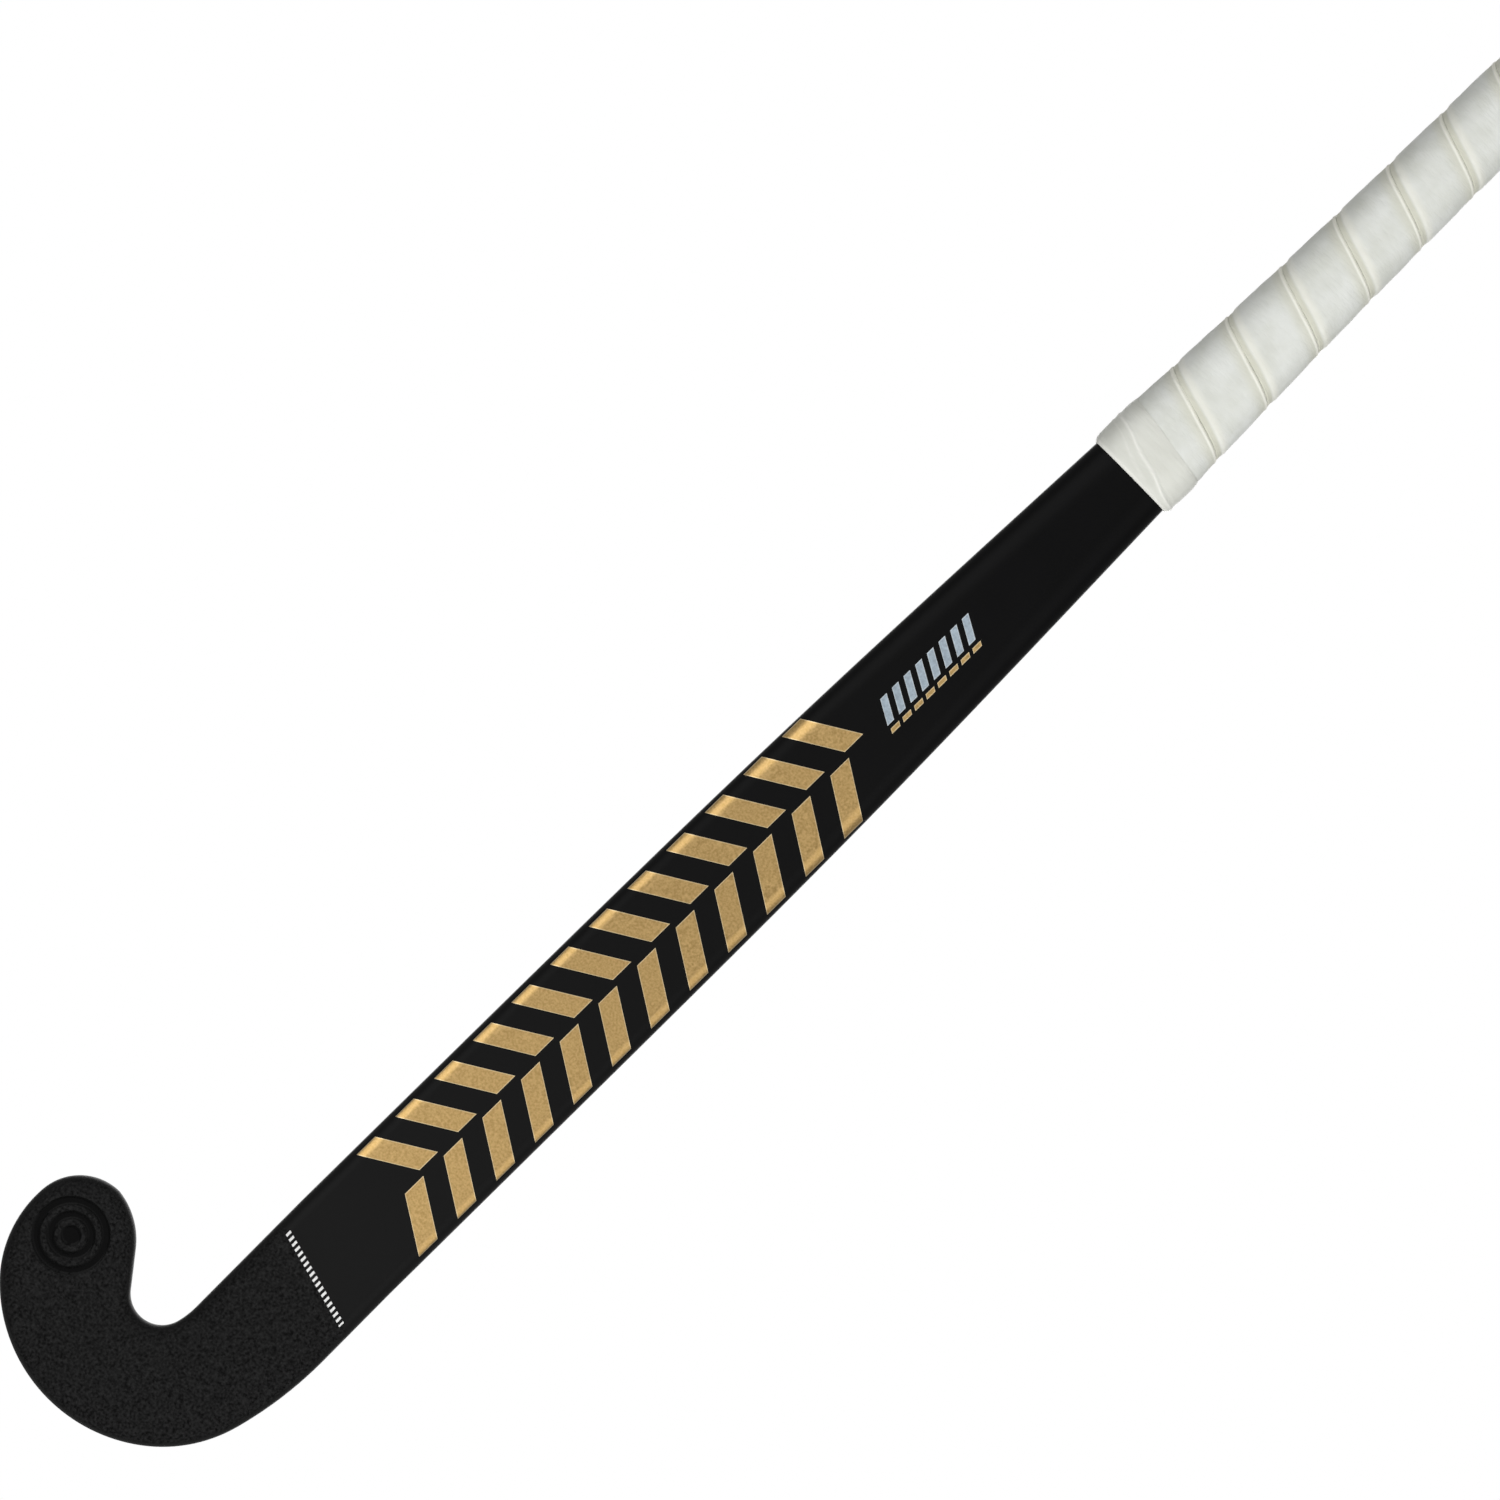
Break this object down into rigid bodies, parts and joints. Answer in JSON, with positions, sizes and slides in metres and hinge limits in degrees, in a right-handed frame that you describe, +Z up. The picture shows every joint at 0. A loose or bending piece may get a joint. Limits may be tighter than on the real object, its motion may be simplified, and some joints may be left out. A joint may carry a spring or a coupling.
{
  "type": "indoor hockey stick",
  "caption": "Indoor hockey stick with a slim flat-faced shaft, hooked head, slight bow, wound cushioned grip and end cap.",
  "frame": {"origin": "middle of the grip, on the handle's axis, where the hand holds the stick", "axes": "+Z up the stick from the head to the butt, -Y out of the flat hitting side, -X towards the toe"},
  "size_m": [0.1214, 0.0423, 0.927],
  "materials": {
    "shell_laminate": "satin black lacquer over carbon and glass laminate, gritty on the head",
    "impact_ply": "resin-bonded aramid cloth",
    "core_foam": "rigid foam",
    "tube_laminate": "bare carbon laminate",
    "plug_foam": "rigid foam",
    "cap_rubber": "moulded black rubber",
    "grip_cushion": "soft off-white polyurethane, lightly wrinkled",
    "white_tape": "stretched white finishing tape"
  },
  "bodies": {
    "root": {"outer_shell": "shell_laminate", "impact_ply": "impact_ply", "head_core": "core_foam", "inner_tube_toe": "tube_laminate", "inner_tube_heel": "tube_laminate", "handle_plug": "plug_foam", "end_cap": "cap_rubber", "grip_tape": "grip_cushion", "finishing_tape": "white_tape"}
  },
  "joints": []
}
